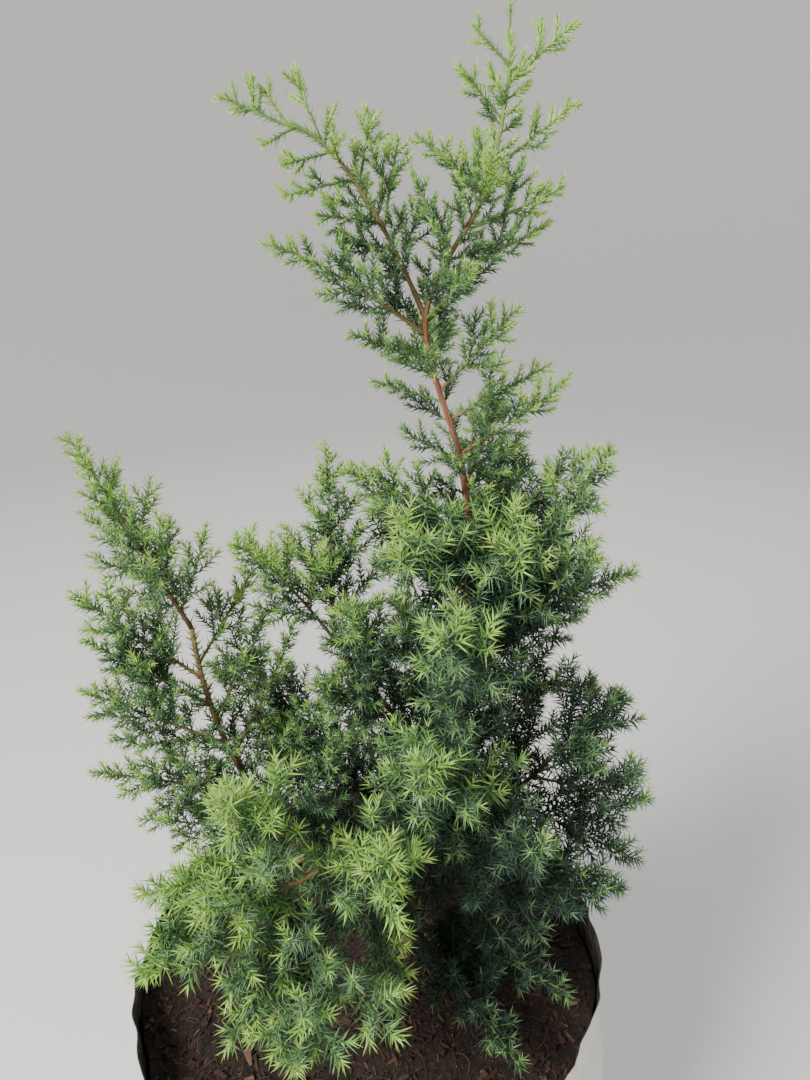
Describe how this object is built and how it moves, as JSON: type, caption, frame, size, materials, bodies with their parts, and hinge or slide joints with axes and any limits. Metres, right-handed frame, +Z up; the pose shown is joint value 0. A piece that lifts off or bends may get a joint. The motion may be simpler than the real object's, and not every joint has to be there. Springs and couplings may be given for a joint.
{
  "type": "young juniper shrub in a film grow bag",
  "caption": "Unclipped young needle-leaved juniper with a winding main stem, spreading boughs and open masses of foliage, growing in a soft film grow bag of bark mix.",
  "frame": {"origin": "middle of the bag's flat underside, at the height of the surface it stands on", "axes": "+Z up along the plant, -Y towards the side that the picture was taken from, +X to the right in it"},
  "size_m": [0.3585, 0.3199, 0.8735],
  "materials": {
    "bag_film": "thin soft polythene film, black inside and milky white outside, creased",
    "potting_mix": "damp dark brown bark chips and coir fibre",
    "bark": "thin orange to red-brown bark, peeling in lengthwise strips",
    "foliage": "matt awl-shaped needles, blue-green with yellow-green tips"
  },
  "bodies": {
    "root": {"grow_bag": "bag_film", "potting_mix": "potting_mix", "trunk": "bark", "left_bough": "bark", "front_bough": "bark", "upper_left_bough": "bark", "left_middle_bough": "bark", "right_bough": "bark", "back_left_bough": "bark", "back_right_bough": "bark", "leader_tip": "foliage", "leader_right_first": "foliage", "leader_left_second": "foliage", "leader_right_second": "foliage", "leader_left_third": "foliage", "leader_right_third": "foliage", "leader_front": "foliage", "leader_back": "foliage", "leader_right_fourth": "foliage", "upper_left_tip": "foliage", "upper_left_high": "foliage", "upper_left_inner": "foliage", "upper_left_low": "foliage", "second_left": "foliage", "third_left": "foliage", "third_right": "foliage", "third_back": "foliage", "fourth_right": "foliage", "fourth_back": "foliage", "fifth_left": "foliage", "middle_front_left": "foliage", "middle_front_right": "foliage", "middle_back": "foliage", "centre_front": "foliage", "right_middle_tip": "foliage", "right_middle_side": "foliage", "right_upper": "foliage", "right_tip": "foliage", "right_high": "foliage", "right_front_low": "foliage", "right_front_high": "foliage", "right_soil": "foliage", "front_soil": "foliage", "centre_low": "foliage", "left_middle_tip": "foliage", "left_middle_side": "foliage", "left_middle_front": "foliage", "left_top": "foliage", "left_outer_high": "foliage", "left_outer_low": "foliage", "left_low": "foliage", "left_inner": "foliage", "front_top": "foliage", "front_left": "foliage", "front_right": "foliage", "front_low": "foliage", "back_left_tip": "foliage", "back_left_low": "foliage", "back_right_tip": "foliage", "back_right_low": "foliage"}
  },
  "joints": []
}
